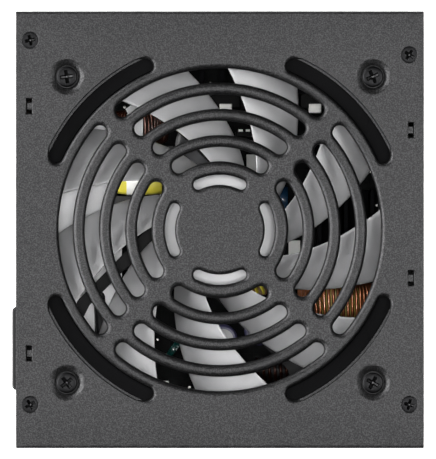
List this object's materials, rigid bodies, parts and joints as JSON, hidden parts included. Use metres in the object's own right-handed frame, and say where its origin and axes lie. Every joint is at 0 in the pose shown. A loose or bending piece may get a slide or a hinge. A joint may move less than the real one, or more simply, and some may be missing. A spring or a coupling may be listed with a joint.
{
  "type": "power supply unit",
  "caption": "Desktop computer power supply in a folded dark-grey steel case with a stamped round fan grille, a pale-bladed cooling fan, a mains inlet, a rocker switch and output sockets.",
  "frame": {"origin": "middle of the floor, on the face that the unit rests on", "axes": "+Z out of the fan face, -X out of the mains end, +X out of the output end, Y along the width"},
  "size_m": [0.1427, 0.15, 0.086],
  "materials": {
    "case_coat": "fine matt powder coat",
    "black_screw": "black oxide",
    "insulating_film": "smooth film",
    "fan_black": "moulded",
    "fan_pale": "translucent moulded, satin",
    "bright_steel": "plated",
    "magnet": "bonded ferrite",
    "nylon": "moulded",
    "bronze": "sintered",
    "lamination": "stacked sheet",
    "copper": "enamelled",
    "dark_copper": "enamelled, red-brown",
    "green_board": "solder mask",
    "black_board": "solder mask",
    "black_lead": "smooth insulation",
    "earth_green": "smooth insulation",
    "baffle_film": "frosted film",
    "socket_black": "moulded, fine grain",
    "rocker_black": "moulded",
    "tinned": "tinned",
    "gilt_pin": "plated",
    "fuse_body": "glazed ceramic",
    "film_box": "moulded",
    "ferrite": "fired ferrite",
    "blue_disc": "dipped coating",
    "green_disc": "dipped coating",
    "chip_black": "moulded resin",
    "black_fin": "black anodised",
    "black_can": "shrunk sleeve",
    "violet_can": "shrunk sleeve, bare metal top",
    "yellow_tape": "polyester tape",
    "core_coat": "painted iron powder"
  },
  "bodies": {
    "case": {"cover_shell": "case_coat", "base_shell": "case_coat", "cover_screws": "black_screw", "insulating_sheet": "insulating_film", "fan_frame": "fan_black", "fan_struts": "fan_black", "fan_bearing": "bronze", "fan_stator": "lamination", "fan_coils": "copper", "fan_board": "green_board", "fan_screws": "black_screw", "fan_lead": "black_lead", "air_baffle": "baffle_film", "baffle_rivets": "nylon", "mains_inlet": "socket_black", "inlet_pins": "tinned", "switch_housing": "socket_black", "switch_terminals": "tinned", "mains_leads": "black_lead", "earth_lead": "earth_green", "earth_screw": "bright_steel", "main_board": "black_board", "board_standoffs": "tinned", "board_screws": "bright_steel", "fuse": "fuse_body", "line_capacitors": "film_box", "line_choke_core": "ferrite", "line_choke_coils": "copper", "earth_capacitors": "blue_disc", "thermistor": "green_disc", "bridge_rectifier": "chip_black", "primary_heatsink": "black_fin", "primary_transistors": "chip_black", "transistor_clips": "nylon", "boost_choke_core": "ferrite", "boost_choke_winding": "dark_copper", "bulk_capacitor": "black_can", "transformer_core": "ferrite", "transformer_winding": "yellow_tape", "standby_transformer": "yellow_tape", "output_heatsink": "black_fin", "output_transistors": "chip_black", "output_choke_core": "core_coat", "output_choke_winding": "copper", "filter_coil_core": "ferrite", "filter_coil_winding": "dark_copper", "output_capacitors": "violet_can", "control_board": "black_board", "signal_headers": "nylon", "link_bars": "tinned", "output_board": "black_board", "output_sockets_wide": "socket_black", "output_sockets": "socket_black", "output_pins": "gilt_pin"},
    "rotor": {"fan_rotor": "fan_pale", "fan_yoke": "bright_steel", "fan_magnet": "magnet", "fan_shaft": "bright_steel", "fan_clip": "nylon"},
    "rocker": {"switch_rocker": "rocker_black"}
  },
  "joints": [
    {"name": "fan_spin", "type": "hinge", "parent": "case", "child": "rotor", "pos_m": [0, 0, 0.07], "axis": [0, 0, 1], "continuous": true},
    {"name": "switch_rock", "type": "hinge", "parent": "case", "child": "rocker", "pos_m": [-0.066, -0.0413, 0.0195], "axis": [0, 0, 1], "range_deg": [-16, 0]}
  ]
}
